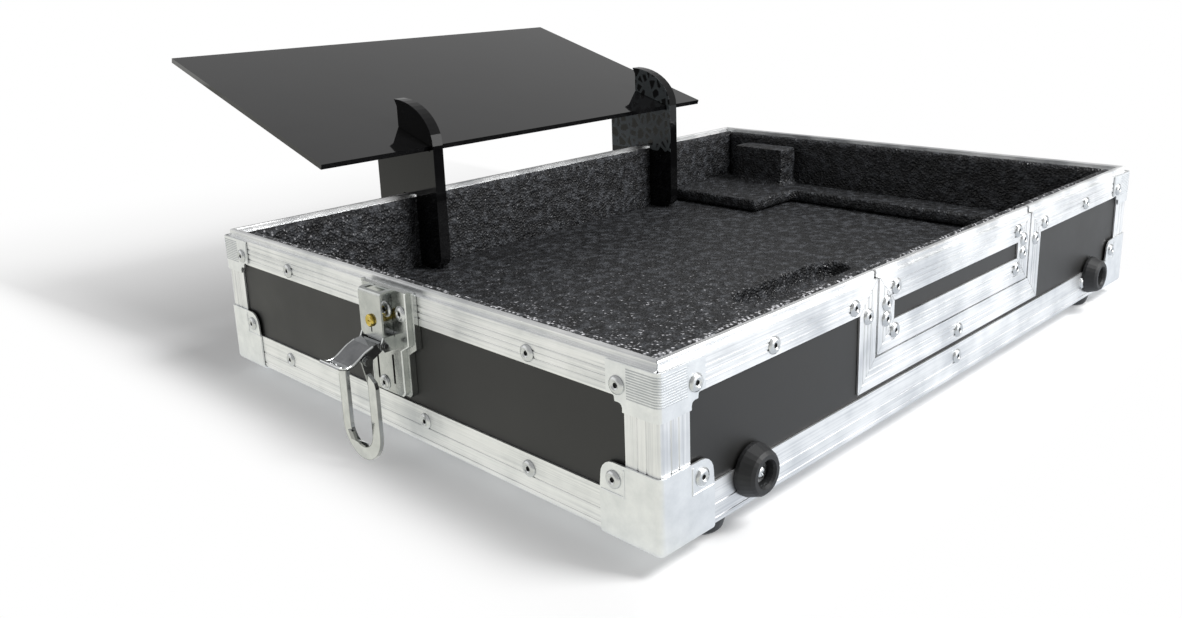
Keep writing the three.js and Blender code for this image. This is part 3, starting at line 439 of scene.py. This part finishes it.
for name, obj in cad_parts.items():
    key = max((k for k in NODE_FINISH if name.startswith(k)), key=len)
    obj.data.materials.clear()
    obj.data.materials.append(NODE_FINISH[key])


# Modelling helpers

def alone(obj=None):
    """Nothing selected, or only this object, and it active."""
    for other in bpy.context.selected_objects:
        other.select_set(False)
    if obj:
        bpy.context.view_layer.objects.active = obj
        obj.select_set(True)


def settle(obj, name, finish):
    """Puts a finished piece's place into its mesh, names it and gives it its material, if one is given."""
    alone(obj)
    bpy.ops.object.transform_apply(location=True, rotation=True, scale=True)
    obj.name = name
    obj.data.name = name
    if finish:
        obj.data.materials.clear()
        obj.data.materials.append(finish)
    return obj


def smooth_within(obj, degrees):
    """Shades smooth across edges that turn less than this."""
    alone(obj)
    bpy.ops.object.shade_smooth_by_angle(angle=math.radians(degrees))


def on_body(obj, body):
    """The piece rides on a body."""
    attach(obj, body)


def bake(obj, kind, **settings):
    """Adds a modifier with its settings and applies it."""
    alone(obj)
    made = obj.modifiers.new(kind.lower(), kind)
    for key, value in settings.items():
        setattr(made, key, value)
    bpy.ops.object.modifier_apply(modifier=made.name)


def cut(obj, cutter, operation="DIFFERENCE"):
    """Cuts the cutter out of the object, or adds it with UNION, and removes it."""
    bake(obj, "BOOLEAN", operation=operation, object=cutter, solver="EXACT")
    bpy.data.objects.remove(cutter)


def soften(obj, width, segments):
    """Bevels edges that turn by more than 60 degrees."""
    bake(obj, "BEVEL", width=width, segments=segments, limit_method="ANGLE", angle_limit=math.radians(60))


def duplicate(pattern):
    """A copy of the pattern with a mesh of its own."""
    made = pattern.copy()
    made.data = pattern.data.copy()
    bpy.context.collection.objects.link(made)
    return made


def merge(pieces, name):
    """Joins several pieces into one object."""
    alone(pieces[0])
    for piece in pieces[1:]:
        piece.select_set(True)
    if len(pieces) > 1:
        bpy.ops.object.join()
    pieces[0].name = name
    pieces[0].data.name = name
    return pieces[0]


def box(low, high):
    """A cube primitive from corner low to corner high, alone and active."""
    alone()
    bpy.ops.mesh.primitive_cube_add(size=1, location=[(a + b) / 2 for a, b in zip(low, high)])
    made = bpy.context.active_object
    made.scale = [b - a for a, b in zip(low, high)]
    alone(made)
    bpy.ops.object.transform_apply(location=True, rotation=True, scale=True)
    return made


# Foam lining: cut slabs with softened, slightly wavy edges

FOAM_INSET = 0.0004
WAVE, WAVE_SIZE = 0.0011, 0.009
NOTCH_PLAY, CUT_PAST = 0.0006, 0.01
RECESS_X, RECESS_Y, RECESS_RADIUS, RECESS_DEPTH = (-0.062, 0.100), -0.088, 0.019, 0.018
# The ledge is wide at the rear and narrow in front of it, with a block at the right end
WIDE_X, NARROW_X, BLOCK_X = 0.222, 0.299, 0.311
WIDE_Y, BLOCK_Y, BLOCK_END_Y = 0.106, 0.131, 0.206
LEDGE_TOP = 0.0603


def cut_slab(name, parts, cuts, voxel):
    """Slabs joined and notched, remeshed fine, then roughened as sawn foam is."""
    slab = box(*parts[0])
    for low, high in parts[1:]:
        cut(slab, box(low, high), "UNION")
    for cutter in cuts:
        cut(slab, cutter)
    bake(slab, "REMESH", mode="VOXEL", voxel_size=voxel)
    cloud = bpy.data.textures.new(name + "_wave", "CLOUDS")
    cloud.noise_scale = WAVE_SIZE
    cloud.noise_depth = 2
    bake(slab, "DISPLACE", texture=cloud, texture_coords="GLOBAL", strength=WAVE, mid_level=0.5)
    bake(slab, "SMOOTH", factor=0.5, iterations=1)
    settle(slab, name, FOAM)
    smooth_within(slab, 60)
    return slab


def stadium(x0, x1, y, radius, z0, z1):
    """An oblong cutter with round ends, from a cylinder pulled apart along X."""
    alone()
    bpy.ops.mesh.primitive_cylinder_add(
        vertices=40, radius=radius, depth=z1 - z0, location=(0, y, (z0 + z1) / 2),
    )
    made = bpy.context.active_object
    alone(made)
    bpy.ops.object.transform_apply(location=True)
    for vertex in made.data.vertices:
        vertex.co.x += x1 - radius if vertex.co.x > 0 else x0 + radius
    return made


def slab_of(node, parts=None, cuts=(), body="case", voxel=0.0035):
    """The cut slab that stands in for a foam node, drawn in a little from it or from the parts given."""
    shrunk = [
        ([a + FOAM_INSET for a in low], [b - FOAM_INSET for b in high])
        for low, high in (parts or [foam_boxes[node]])
    ]
    made = cut_slab(node + "_cut", shrunk, cuts, voxel)
    on_body(made, body)
    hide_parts(node)


foam_boxes = {n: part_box(n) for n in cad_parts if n.startswith("foam") or n == "access_foam_pad"}
slab_of("foam_rear")
slab_of("foam_left")
slab_of("foam_right")
slab_of("access_foam_pad", body="access_panel", voxel=0.003)

low, high = foam_boxes["foam_front"]
pad_low, pad_high = foam_boxes["access_foam_pad"]
slab_of("foam_front", cuts=[box(
    (pad_low[0] - NOTCH_PLAY, low[1] - CUT_PAST, pad_low[2] - NOTCH_PLAY),
    (pad_high[0] + NOTCH_PLAY, high[1] + CUT_PAST, high[2] + CUT_PAST),
)])

low, high = foam_boxes["foam_floor"]
recess = stadium(*RECESS_X, RECESS_Y, RECESS_RADIUS, high[2] - RECESS_DEPTH, high[2] + CUT_PAST)
slab_of("foam_floor", cuts=[recess], voxel=0.004)

low, high = foam_boxes["foam_ledge"]
slab_of("foam_ledge", parts=[
    ((NARROW_X, low[1], low[2]), (high[0], high[1], LEDGE_TOP)),
    ((WIDE_X, WIDE_Y, low[2]), (high[0], high[1], LEDGE_TOP)),
    ((BLOCK_X, BLOCK_Y, low[2]), (high[0], BLOCK_END_Y, high[2])),
])


# Rivets, turned as a flanged head with a bore

def line_through(points):
    """A line of edges through points, extruded from one vertex; it is left in edit mode."""
    alone()
    bpy.ops.mesh.primitive_plane_add(size=0.001, location=(0, 0, 0))
    made = bpy.context.active_object
    alone(made)
    bpy.ops.object.mode_set(mode="EDIT")
    bpy.ops.mesh.select_mode(type="VERT")
    bpy.ops.mesh.select_all(action="SELECT")
    bpy.ops.mesh.merge(type="CENTER")
    bpy.ops.transform.translate(value=points[0])
    for start, end in zip(points, points[1:]):
        step = [b - a for a, b in zip(start, end)]
        bpy.ops.mesh.extrude_region_move(TRANSFORM_OT_translate={"value": step})
    return made


def turned(name, profile, finish):
    """A turned piece about Z from (radius, height) points, spun from an extruded line."""
    made = line_through([(radius, 0, height) for radius, height in profile])
    bpy.ops.mesh.select_all(action="SELECT")
    bpy.ops.mesh.spin(steps=28, angle=math.tau, center=(0, 0, 0), axis=(0, 0, 1), use_auto_merge=True)
    bpy.ops.mesh.select_all(action="SELECT")
    bpy.ops.mesh.remove_doubles(threshold=0.00002)
    bpy.ops.mesh.normals_make_consistent(inside=False)
    bpy.ops.object.mode_set(mode="OBJECT")
    return settle(made, name, finish)


RIVET_PROFILE = [
    (0.0, 0.0), (0.0058, 0.0), (0.0060, 0.0004), (0.0057, 0.0010), (0.0046, 0.0018), (0.0034, 0.0021),
    (0.0029, 0.0021), (0.0026, 0.0018), (0.0017, 0.0014), (0.0015, 0.0004), (0.0, 0.0002),
]
BORE_RADIUS = 0.0017
pattern_rivet = turned("rivet_pattern", RIVET_PROFILE, RIVET)
smooth_within(pattern_rivet, 32)
pattern_rivet.data.materials.append(BORE)
for face in pattern_rivet.data.polygons:
    if face.center.xy.length < BORE_RADIUS:
        face.material_index = 1

# For each side of the case, the turn and the place of something that stands out from it
FACING = {
    "front": (Matrix.Rotation(math.radians(90), 4, "X"), lambda s, z, out: (s, -HALF_DEPTH - out, z)),
    "rear": (Matrix.Rotation(math.radians(-90), 4, "X"), lambda s, z, out: (s, HALF_DEPTH + out, z)),
    "left": (Matrix.Rotation(math.radians(-90), 4, "Y"), lambda s, z, out: (-HALF_LENGTH - out, s, z)),
    "right": (Matrix.Rotation(math.radians(90), 4, "Y"), lambda s, z, out: (HALF_LENGTH + out, s, z)),
}


def copies(pattern, name, side, places, body):
    """The pattern copied, each with its own mesh, to (along, height, out) places on one side, then joined."""
    turn, at = FACING[side]
    made = []
    for s, z, out in places:
        copy = duplicate(pattern)
        copy.matrix_world = Matrix.Translation(at(s, z, out)) @ turn
        made.append(copy)
    on_body(settle(merge(made, name), name, None), body)


# Places of the rivets along each side, in height and out from it
RIM_FIX, EDGE_FIX, BRACE_FIX, PLATE_FIX = 0.0995, 0.0179, 0.0376, 0.0998
BRACE_OUT, PLATE_OUT = 0.0016, 0.0066
long_edge = [(x, EDGE_FIX, 0) for x in (-0.263, 0.0, 0.263)]
front_fix = [(x, RIM_FIX, 0) for x in (-0.254, -0.159, 0.159, 0.254)] + long_edge + [
    (-0.1405, 0.0885, 0), (0.1405, 0.0885, 0), (0.0, 0.0405, 0),
]
rear_fix = [(x, RIM_FIX, 0) for x in (-0.254, -0.09, 0.09, 0.254)] + long_edge
side_fix = [(y, RIM_FIX, 0) for y in (-0.149, 0.151)] + [
    (y, EDGE_FIX, 0) for y in (-0.145, -0.031, 0.163)
] + [(y, PLATE_FIX, PLATE_OUT) for y in (-0.0203, -0.0019, 0.0215)] + [(0.0074, 0.0405, PLATE_OUT)]
panel_fix = [
    (sign * x, z, 0) for sign in (-1, 1)
    for x, z in ((0.103, 0.1025), (0.1155, 0.0925), (0.1155, 0.0805), (0.103, 0.0685))
]


def brace_fixings(half):
    """Rivets of the rim and base braces at the two ends of a side with this half length."""
    return [
        (sign * (half - inset), z, BRACE_OUT)
        for inset, z in ((0.031, RIM_FIX), (0.036, BRACE_FIX)) for sign in (-1, 1)
    ]


for side, fixings, half in (
    ("front", front_fix, HALF_LENGTH), ("rear", rear_fix, HALF_LENGTH),
    ("left", side_fix, HALF_DEPTH), ("right", side_fix, HALF_DEPTH),
):
    copies(pattern_rivet, f"rivets_{side}", side, fixings + brace_fixings(half), "case")
copies(pattern_rivet, "rivets_access_panel", "front", panel_fix, "access_panel")


# Lock faces: a rimmed disc with a keyway on each barrel

FACE_PROFILE = [
    (0.0, -0.0004), (0.0046, -0.0004), (0.0048, 0.0), (0.0046, 0.0005),
    (0.0038, 0.0009), (0.0032, 0.0006), (0.0, 0.0006),
]
KEYWAY = (-0.0005, -0.0026, -0.0001), (0.0005, 0.0012, 0.002)
pattern_face = turned("lock_face_pattern", FACE_PROFILE, BRASS)
cut(pattern_face, box(*KEYWAY))
smooth_within(pattern_face, 30)
for side in ("left", "right"):
    low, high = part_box(f"latch_{side}_lock_barrel")
    out = max(-low[0], high[0]) - HALF_LENGTH
    middle = ((low[1] + high[1]) / 2, (low[2] + high[2]) / 2, out)
    copies(pattern_face, f"lock_face_{side}", side, [middle], f"{side}_lock")


# Rolled edges of the latches: a bead round each lever, down one side, across the tip and up the
# other, and one down each bend at the front of the base's raised part

def bead_along(points, radius):
    """A round bead through points, from a line of edges made a curve and thickened."""
    line_through(points)
    bpy.ops.object.mode_set(mode="OBJECT")
    alone(bpy.context.active_object)
    bpy.ops.object.convert(target="CURVE")
    curve = bpy.context.active_object.data
    curve.bevel_depth = radius
    curve.bevel_resolution = 2
    curve.use_fill_caps = True
    bpy.ops.object.convert(target="MESH")
    return bpy.context.active_object


def finish_bead(bead, name, body):
    """Gives a bead its nickel plate, a lighter copy as a painted highlight, its shading and its body."""
    settle(bead, name, EDGE_NICKEL_PAINTED_HIGHLIGHT)
    smooth_within(bead, 50)
    on_body(bead, body)


LEVER_HALF, LEVER_BEAD = 0.0121, 0.0009
LEVER_EDGE = [  # out from the case's side, and height
    (0.0240, 0.0768), (0.0310, 0.0740), (0.0365, 0.0704), (0.0410, 0.0678),
    (0.0460, 0.0668), (0.0500, 0.0676), (0.0526, 0.0690),
]
BASE_BEAD, BASE_OUT = 0.0008, 0.0061
BASE_BENDS = [  # along Y, and height
    [(-0.0262, 0.1157), (-0.0262, 0.0765), (-0.0167, 0.0705), (-0.0167, 0.0376), (-0.0140, 0.0349)],
    [(0.0272, 0.1157), (0.0272, 0.0765), (0.0217, 0.0705), (0.0217, 0.0376), (0.0190, 0.0349)],
]
for side, sign in (("left", -1), ("right", 1)):
    near = [(sign * (HALF_LENGTH + out), LATCH_Y - LEVER_HALF, z) for out, z in LEVER_EDGE]
    far = [(sign * (HALF_LENGTH + out), LATCH_Y + LEVER_HALF, z) for out, z in reversed(LEVER_EDGE)]
    finish_bead(bead_along(near + far, LEVER_BEAD), f"lever_edge_{side}", f"{side}_lever")
    bends = [
        bead_along([(sign * (HALF_LENGTH + BASE_OUT), y, z) for y, z in bend], BASE_BEAD)
        for bend in BASE_BENDS
    ]
    finish_bead(merge(bends, f"latch_bends_{side}"), f"latch_bends_{side}", "case")


# Pressed ribs of the rim braces and the pocket steps of the base braces

CORNERS = {"front_left": (-1, -1), "front_right": (1, -1), "rear_left": (-1, 1), "rear_right": (1, 1)}


def mirrored_to_corners(pattern, name, finish):
    """The pattern of the front left corner, mirrored to each corner with a mesh of its own."""
    for corner, (sx, sy) in CORNERS.items():
        copy = duplicate(pattern)
        copy.scale = (-sx, -sy, 1)
        settle(copy, f"{name}_{corner}", finish)
        bpy.ops.object.mode_set(mode="EDIT")
        bpy.ops.mesh.select_all(action="SELECT")
        bpy.ops.mesh.normals_make_consistent(inside=False)
        bpy.ops.object.mode_set(mode="OBJECT")
        on_body(copy, "case")
    bpy.data.objects.remove(pattern)


RIB_OUT, RIB_RUN, RIB_LOW, RIB_HIGH = 0.00176, 0.0235, 0.0925, 0.0009
RIB_PITCH, RIB_COUNT = 0.00165, 12
CORNER_ROUND = 0.003
INSIDE_RUN, INSIDE_LOW, INSIDE_TOP = 0.05, 0.08, 0.1
rib = box(
    (-HALF_LENGTH - RIB_OUT, -HALF_DEPTH - RIB_OUT, RIB_LOW),
    (-HALF_LENGTH + RIB_RUN, -HALF_DEPTH + RIB_RUN, RIB_LOW + RIB_HIGH),
)
bpy.ops.object.mode_set(mode="EDIT")
bpy.ops.mesh.select_mode(type="EDGE")
bpy.ops.mesh.select_all(action="DESELECT")
bpy.ops.object.mode_set(mode="OBJECT")
for edge in rib.data.edges:
    ends = [rib.data.vertices[v].co for v in edge.vertices]
    edge.select = all(
        abs(c.x + HALF_LENGTH + RIB_OUT) < 1e-5 and abs(c.y + HALF_DEPTH + RIB_OUT) < 1e-5 for c in ends
    )
bpy.ops.object.mode_set(mode="EDIT")
bpy.ops.mesh.bevel(offset=CORNER_ROUND + RIB_OUT, segments=5)
bpy.ops.object.mode_set(mode="OBJECT")
cut(rib, box(
    (-HALF_LENGTH + CORNER_ROUND, -HALF_DEPTH + CORNER_ROUND, INSIDE_LOW),
    (-HALF_LENGTH + INSIDE_RUN, -HALF_DEPTH + INSIDE_RUN, INSIDE_TOP),
))
soften(rib, 0.00013, 1)
bake(
    rib, "ARRAY", count=RIB_COUNT, use_relative_offset=False,
    use_constant_offset=True, constant_offset_displace=(0, 0, RIB_PITCH),
)
mirrored_to_corners(rib, "brace_ribs", RIB_ZINC_PAINTED_SHADE)

# Each pocket has an upright and a level step, sunk in the brace's face and standing proud of it
STEP_PROUD, STEP_SUNK = 0.0021, 0.0012
STEPS = [(0.0268, 0.0280, 0.0285, 0.0462), (0.0268, 0.0470, 0.0277, 0.0289)]  # from the corner, and height
steps = [
    box((-HALF_LENGTH + s0, -HALF_DEPTH - STEP_PROUD, z0), (-HALF_LENGTH + s1, -HALF_DEPTH - STEP_SUNK, z1))
    for s0, s1, z0, z1 in STEPS
] + [
    box((-HALF_LENGTH - STEP_PROUD, -HALF_DEPTH + s0, z0), (-HALF_LENGTH - STEP_SUNK, -HALF_DEPTH + s1, z1))
    for s0, s1, z0, z1 in STEPS
]
for step in steps:
    soften(step, 0.0003, 2)
mirrored_to_corners(merge(steps, "pocket_steps"), "brace_pockets", ZINC)


# Bumper and foot screws: a washer and a cross-headed screw in each well

SCREW_PROFILE = [
    (0.0, 0.0), (0.0072, 0.0), (0.0074, 0.0005), (0.0070, 0.0009), (0.0046, 0.0009),
    (0.0044, 0.0016), (0.0036, 0.0026), (0.0022, 0.0032), (0.0, 0.0034),
]
CROSS = (0.0044, 0.0009, 0.0024)
BUMPER_X, BUMPER_Z, BUMPER_SEAT_OUT = 0.2775, 0.023, 0.0058
FOOT_X, FOOT_Y, FOOT_SEAT_Z = 0.300, 0.236, -0.009
pattern_screw = turned("screw_pattern", SCREW_PROFILE, RIVET)
for turn in (20, 110):
    alone()
    bpy.ops.mesh.primitive_cube_add(size=1, location=(0, 0, SCREW_PROFILE[-1][1]))
    bar = bpy.context.active_object
    bar.scale = CROSS
    bar.rotation_euler = (0, 0, math.radians(turn))
    cut(pattern_screw, bar)
smooth_within(pattern_screw, 30)
copies(
    pattern_screw, "screws_bumpers", "front",
    [(x, BUMPER_Z, BUMPER_SEAT_OUT) for x in (-BUMPER_X, BUMPER_X)], "case",
)
foot_screws = []
for x in (-FOOT_X, FOOT_X):
    for y in (-FOOT_Y, FOOT_Y):
        copy = duplicate(pattern_screw)
        copy.matrix_world = Matrix.Translation((x, y, FOOT_SEAT_Z)) @ Matrix.Rotation(math.pi, 4, "X")
        foot_screws.append(copy)
on_body(settle(merge(foot_screws, "screws_feet"), "screws_feet", None), "case")

for pattern in (pattern_rivet, pattern_face, pattern_screw):
    bpy.data.objects.remove(pattern)


# Floor: pale paint that keeps the contact shadow, and turns to plain white away from the case

SHADE_START, SHADE_RUN = 0.15, 0.095  # share of white at the case's outline, and the run to all white
POOL = 0.9  # how far the shade pools out from the front left corner
REAR_SLOPE = 0.1  # the shadow behind the case runs out ten times as far

alone()
bpy.ops.mesh.primitive_plane_add(size=12, location=(0, 0, FLOOR_Z))
floor = bpy.context.active_object
floor.name = "studio_floor"
floor_paint, tree, shader = material("pale_studio_floor", 0.9, 0.0)
place = put(tree, "ShaderNodeTexCoord").outputs["Object"]
mottle = put(tree, "ShaderNodeTexNoise", Vector=place, Scale=1.5, Detail=2.0)
paint = put(
    tree, "ShaderNodeValToRGB", {"stops": [(0.3, "F8F8F8"), (0.7, "FCFCFC")]},
    Fac=mottle.outputs["Fac"],
)
feed(shader, Base_Color=paint.outputs["Color"])
split = put(tree, "ShaderNodeSeparateXYZ", Vector=place)
wide = put(tree, "ShaderNodeMath", {"operation": "ABSOLUTE"}, i0=split.outputs["X"])
beside = put(tree, "ShaderNodeMath", {"operation": "SUBTRACT"}, i0=wide.outputs["Value"], i1=HALF_LENGTH)
before = put(
    tree, "ShaderNodeMath", {"operation": "MULTIPLY_ADD"},
    i0=split.outputs["Y"], i1=-1.0, i2=-HALF_DEPTH,
)
behind = put(
    tree, "ShaderNodeMath", {"operation": "MULTIPLY_ADD"},
    i0=split.outputs["Y"], i1=REAR_SLOPE, i2=-REAR_SLOPE * HALF_DEPTH,
)
along = put(
    tree, "ShaderNodeMath", {"operation": "MAXIMUM"},
    i0=before.outputs["Value"], i1=behind.outputs["Value"],
)
outside = put(
    tree, "ShaderNodeMath", {"operation": "MAXIMUM"},
    i0=beside.outputs["Value"], i1=along.outputs["Value"],
)
left = put(
    tree, "ShaderNodeMath", {"operation": "MULTIPLY_ADD"},
    i0=split.outputs["X"], i1=-1.0, i2=-HALF_LENGTH,
)
corner = put(
    tree, "ShaderNodeMath", {"operation": "MINIMUM"},
    i0=left.outputs["Value"], i1=before.outputs["Value"],
)
pooled = put(tree, "ShaderNodeMath", {"operation": "MAXIMUM"}, i0=corner.outputs["Value"], i1=0.0)
away = put(
    tree, "ShaderNodeMath", {"operation": "MULTIPLY_ADD"},
    i0=pooled.outputs["Value"], i1=-POOL, i2=outside.outputs["Value"],
)
share = put(
    tree, "ShaderNodeMapRange", {"interpolation_type": "SMOOTHSTEP"},
    Value=away.outputs["Value"], i1=0.0, i2=SHADE_RUN, i3=SHADE_START, i4=1.0,
)
ray = put(tree, "ShaderNodeLightPath")
seen = put(
    tree, "ShaderNodeMath", {"operation": "MULTIPLY"},
    i0=share.outputs["Result"], i1=ray.outputs["Is Camera Ray"],
)
# What the metals mirror of the floor falls off with distance, is dimmer and warmer at the left
fall = put(
    tree, "ShaderNodeMapRange",
    Value=outside.outputs["Value"], i1=0.15, i2=0.55, i3=1.0, i4=0.64,
)
dimmer = put(tree, "ShaderNodeMapRange", Value=split.outputs["X"], i1=-0.48, i2=-0.3, i3=0.78, i4=1.0)
mirror = put(
    tree, "ShaderNodeMath", {"operation": "MULTIPLY"},
    i0=fall.outputs["Result"], i1=dimmer.outputs["Result"],
)
amount = put(
    tree, "ShaderNodeMath", {"operation": "MULTIPLY_ADD"},
    i0=ray.outputs["Is Glossy Ray"], i1=mirror.outputs["Value"], i2=seen.outputs["Value"],
)
across = put(tree, "ShaderNodeMapRange", Value=split.outputs["X"], i1=-0.42, i2=-0.3, i3=0.0, i4=1.0)
cast = put(
    tree, "ShaderNodeValToRGB", {"stops": [(0.0, "FAFAF0"), (1.0, "F0F5FC")]},
    Fac=across.outputs["Result"],
)
shown = put(
    tree, "ShaderNodeMix", {"data_type": "RGBA"},
    Factor=ray.outputs["Is Glossy Ray"], i6=(1, 1, 1, 1), i7=cast.outputs["Color"],
)
white = put(tree, "ShaderNodeEmission", Color=shown.outputs[2], Strength=1.0)
faded = put(
    tree, "ShaderNodeMixShader",
    Fac=amount.outputs["Value"], i1=shader.outputs["BSDF"], i2=white.outputs[0],
)
tree.links.new(faded.outputs[0], tree.nodes["Material Output"].inputs["Surface"])
floor.data.materials.append(floor_paint)


# Backdrop: white to the camera, dimmer as light and in reflections

world = bpy.data.worlds.new("studio_world")
bpy.context.scene.world = world
world.use_nodes = True
tree = world.node_tree
ray = put(tree, "ShaderNodeLightPath")
seen = put(tree, "ShaderNodeBackground", Color=(1, 1, 1, 1), Strength=1.0)
lit = put(tree, "ShaderNodeBackground", Color=(1, 1, 1, 1), Strength=0.27)
mirrored = put(tree, "ShaderNodeBackground", Color=(1, 1, 1, 1), Strength=0.52)
bounced = put(
    tree, "ShaderNodeMixShader",
    Fac=ray.outputs["Is Glossy Ray"], i1=lit.outputs[0], i2=mirrored.outputs[0],
)
backdrop = put(
    tree, "ShaderNodeMixShader",
    Fac=ray.outputs["Is Camera Ray"], i1=bounced.outputs[0], i2=seen.outputs[0],
)
tree.links.new(backdrop.outputs[0], tree.nodes["World Output"].inputs["Surface"])


# Light

def soft_box(name, place, target, size, power):
    """A large soft lamp at place, facing target."""
    lamp = bpy.data.lights.new(name, "AREA")
    lamp.shape = "RECTANGLE"
    lamp.size, lamp.size_y = size
    lamp.energy = power
    made = bpy.data.objects.new(name, lamp)
    bpy.context.collection.objects.link(made)
    made.location = place
    made.rotation_euler = (Vector(target) - Vector(place)).to_track_quat("-Z", "Y").to_euler()


soft_box("key_light", (0.7, -1.6, 2.2), (0, 0, 0.05), (0.9, 0.9), 66)
soft_box("front_panel", (1.1, -2.3, 0.6), (-0.1, 0, 0.1), (1.8, 1.2), 26)
soft_box("rear_left_panel", (-1.9, 1.9, 0.7), (0, 0, 0.1), (2.4, 1.4), 7)


# Camera, as solved from the photograph's straight edges; angles in radians

EYE = (-0.768213, -0.623903, 0.331879)
YAW, PITCH, ROLL = 0.796705619, 0.261458678, -0.0365712

camera_data = bpy.data.cameras.new("camera")
camera_data.lens = 31.78
camera_data.sensor_width = 36
camera_data.shift_x = 0
camera_data.shift_y = -0.05
camera_data.clip_start = 0.01
camera = bpy.data.objects.new("camera", camera_data)
bpy.context.collection.objects.link(camera)
bpy.context.scene.camera = camera
ahead = Vector((math.cos(PITCH) * math.cos(YAW), math.cos(PITCH) * math.sin(YAW), -math.sin(PITCH)))
level = Vector((math.sin(YAW), -math.cos(YAW), 0))
upright = level.cross(ahead)
right = math.cos(ROLL) * level + math.sin(ROLL) * upright
above = -math.sin(ROLL) * level + math.cos(ROLL) * upright
camera.matrix_world = Matrix.Translation(EYE) @ Matrix(
    [[right[i], above[i], -ahead[i], 0] for i in range(3)] + [[0, 0, 0, 1]]
)

bpy.context.scene.view_settings.view_transform = "Standard"
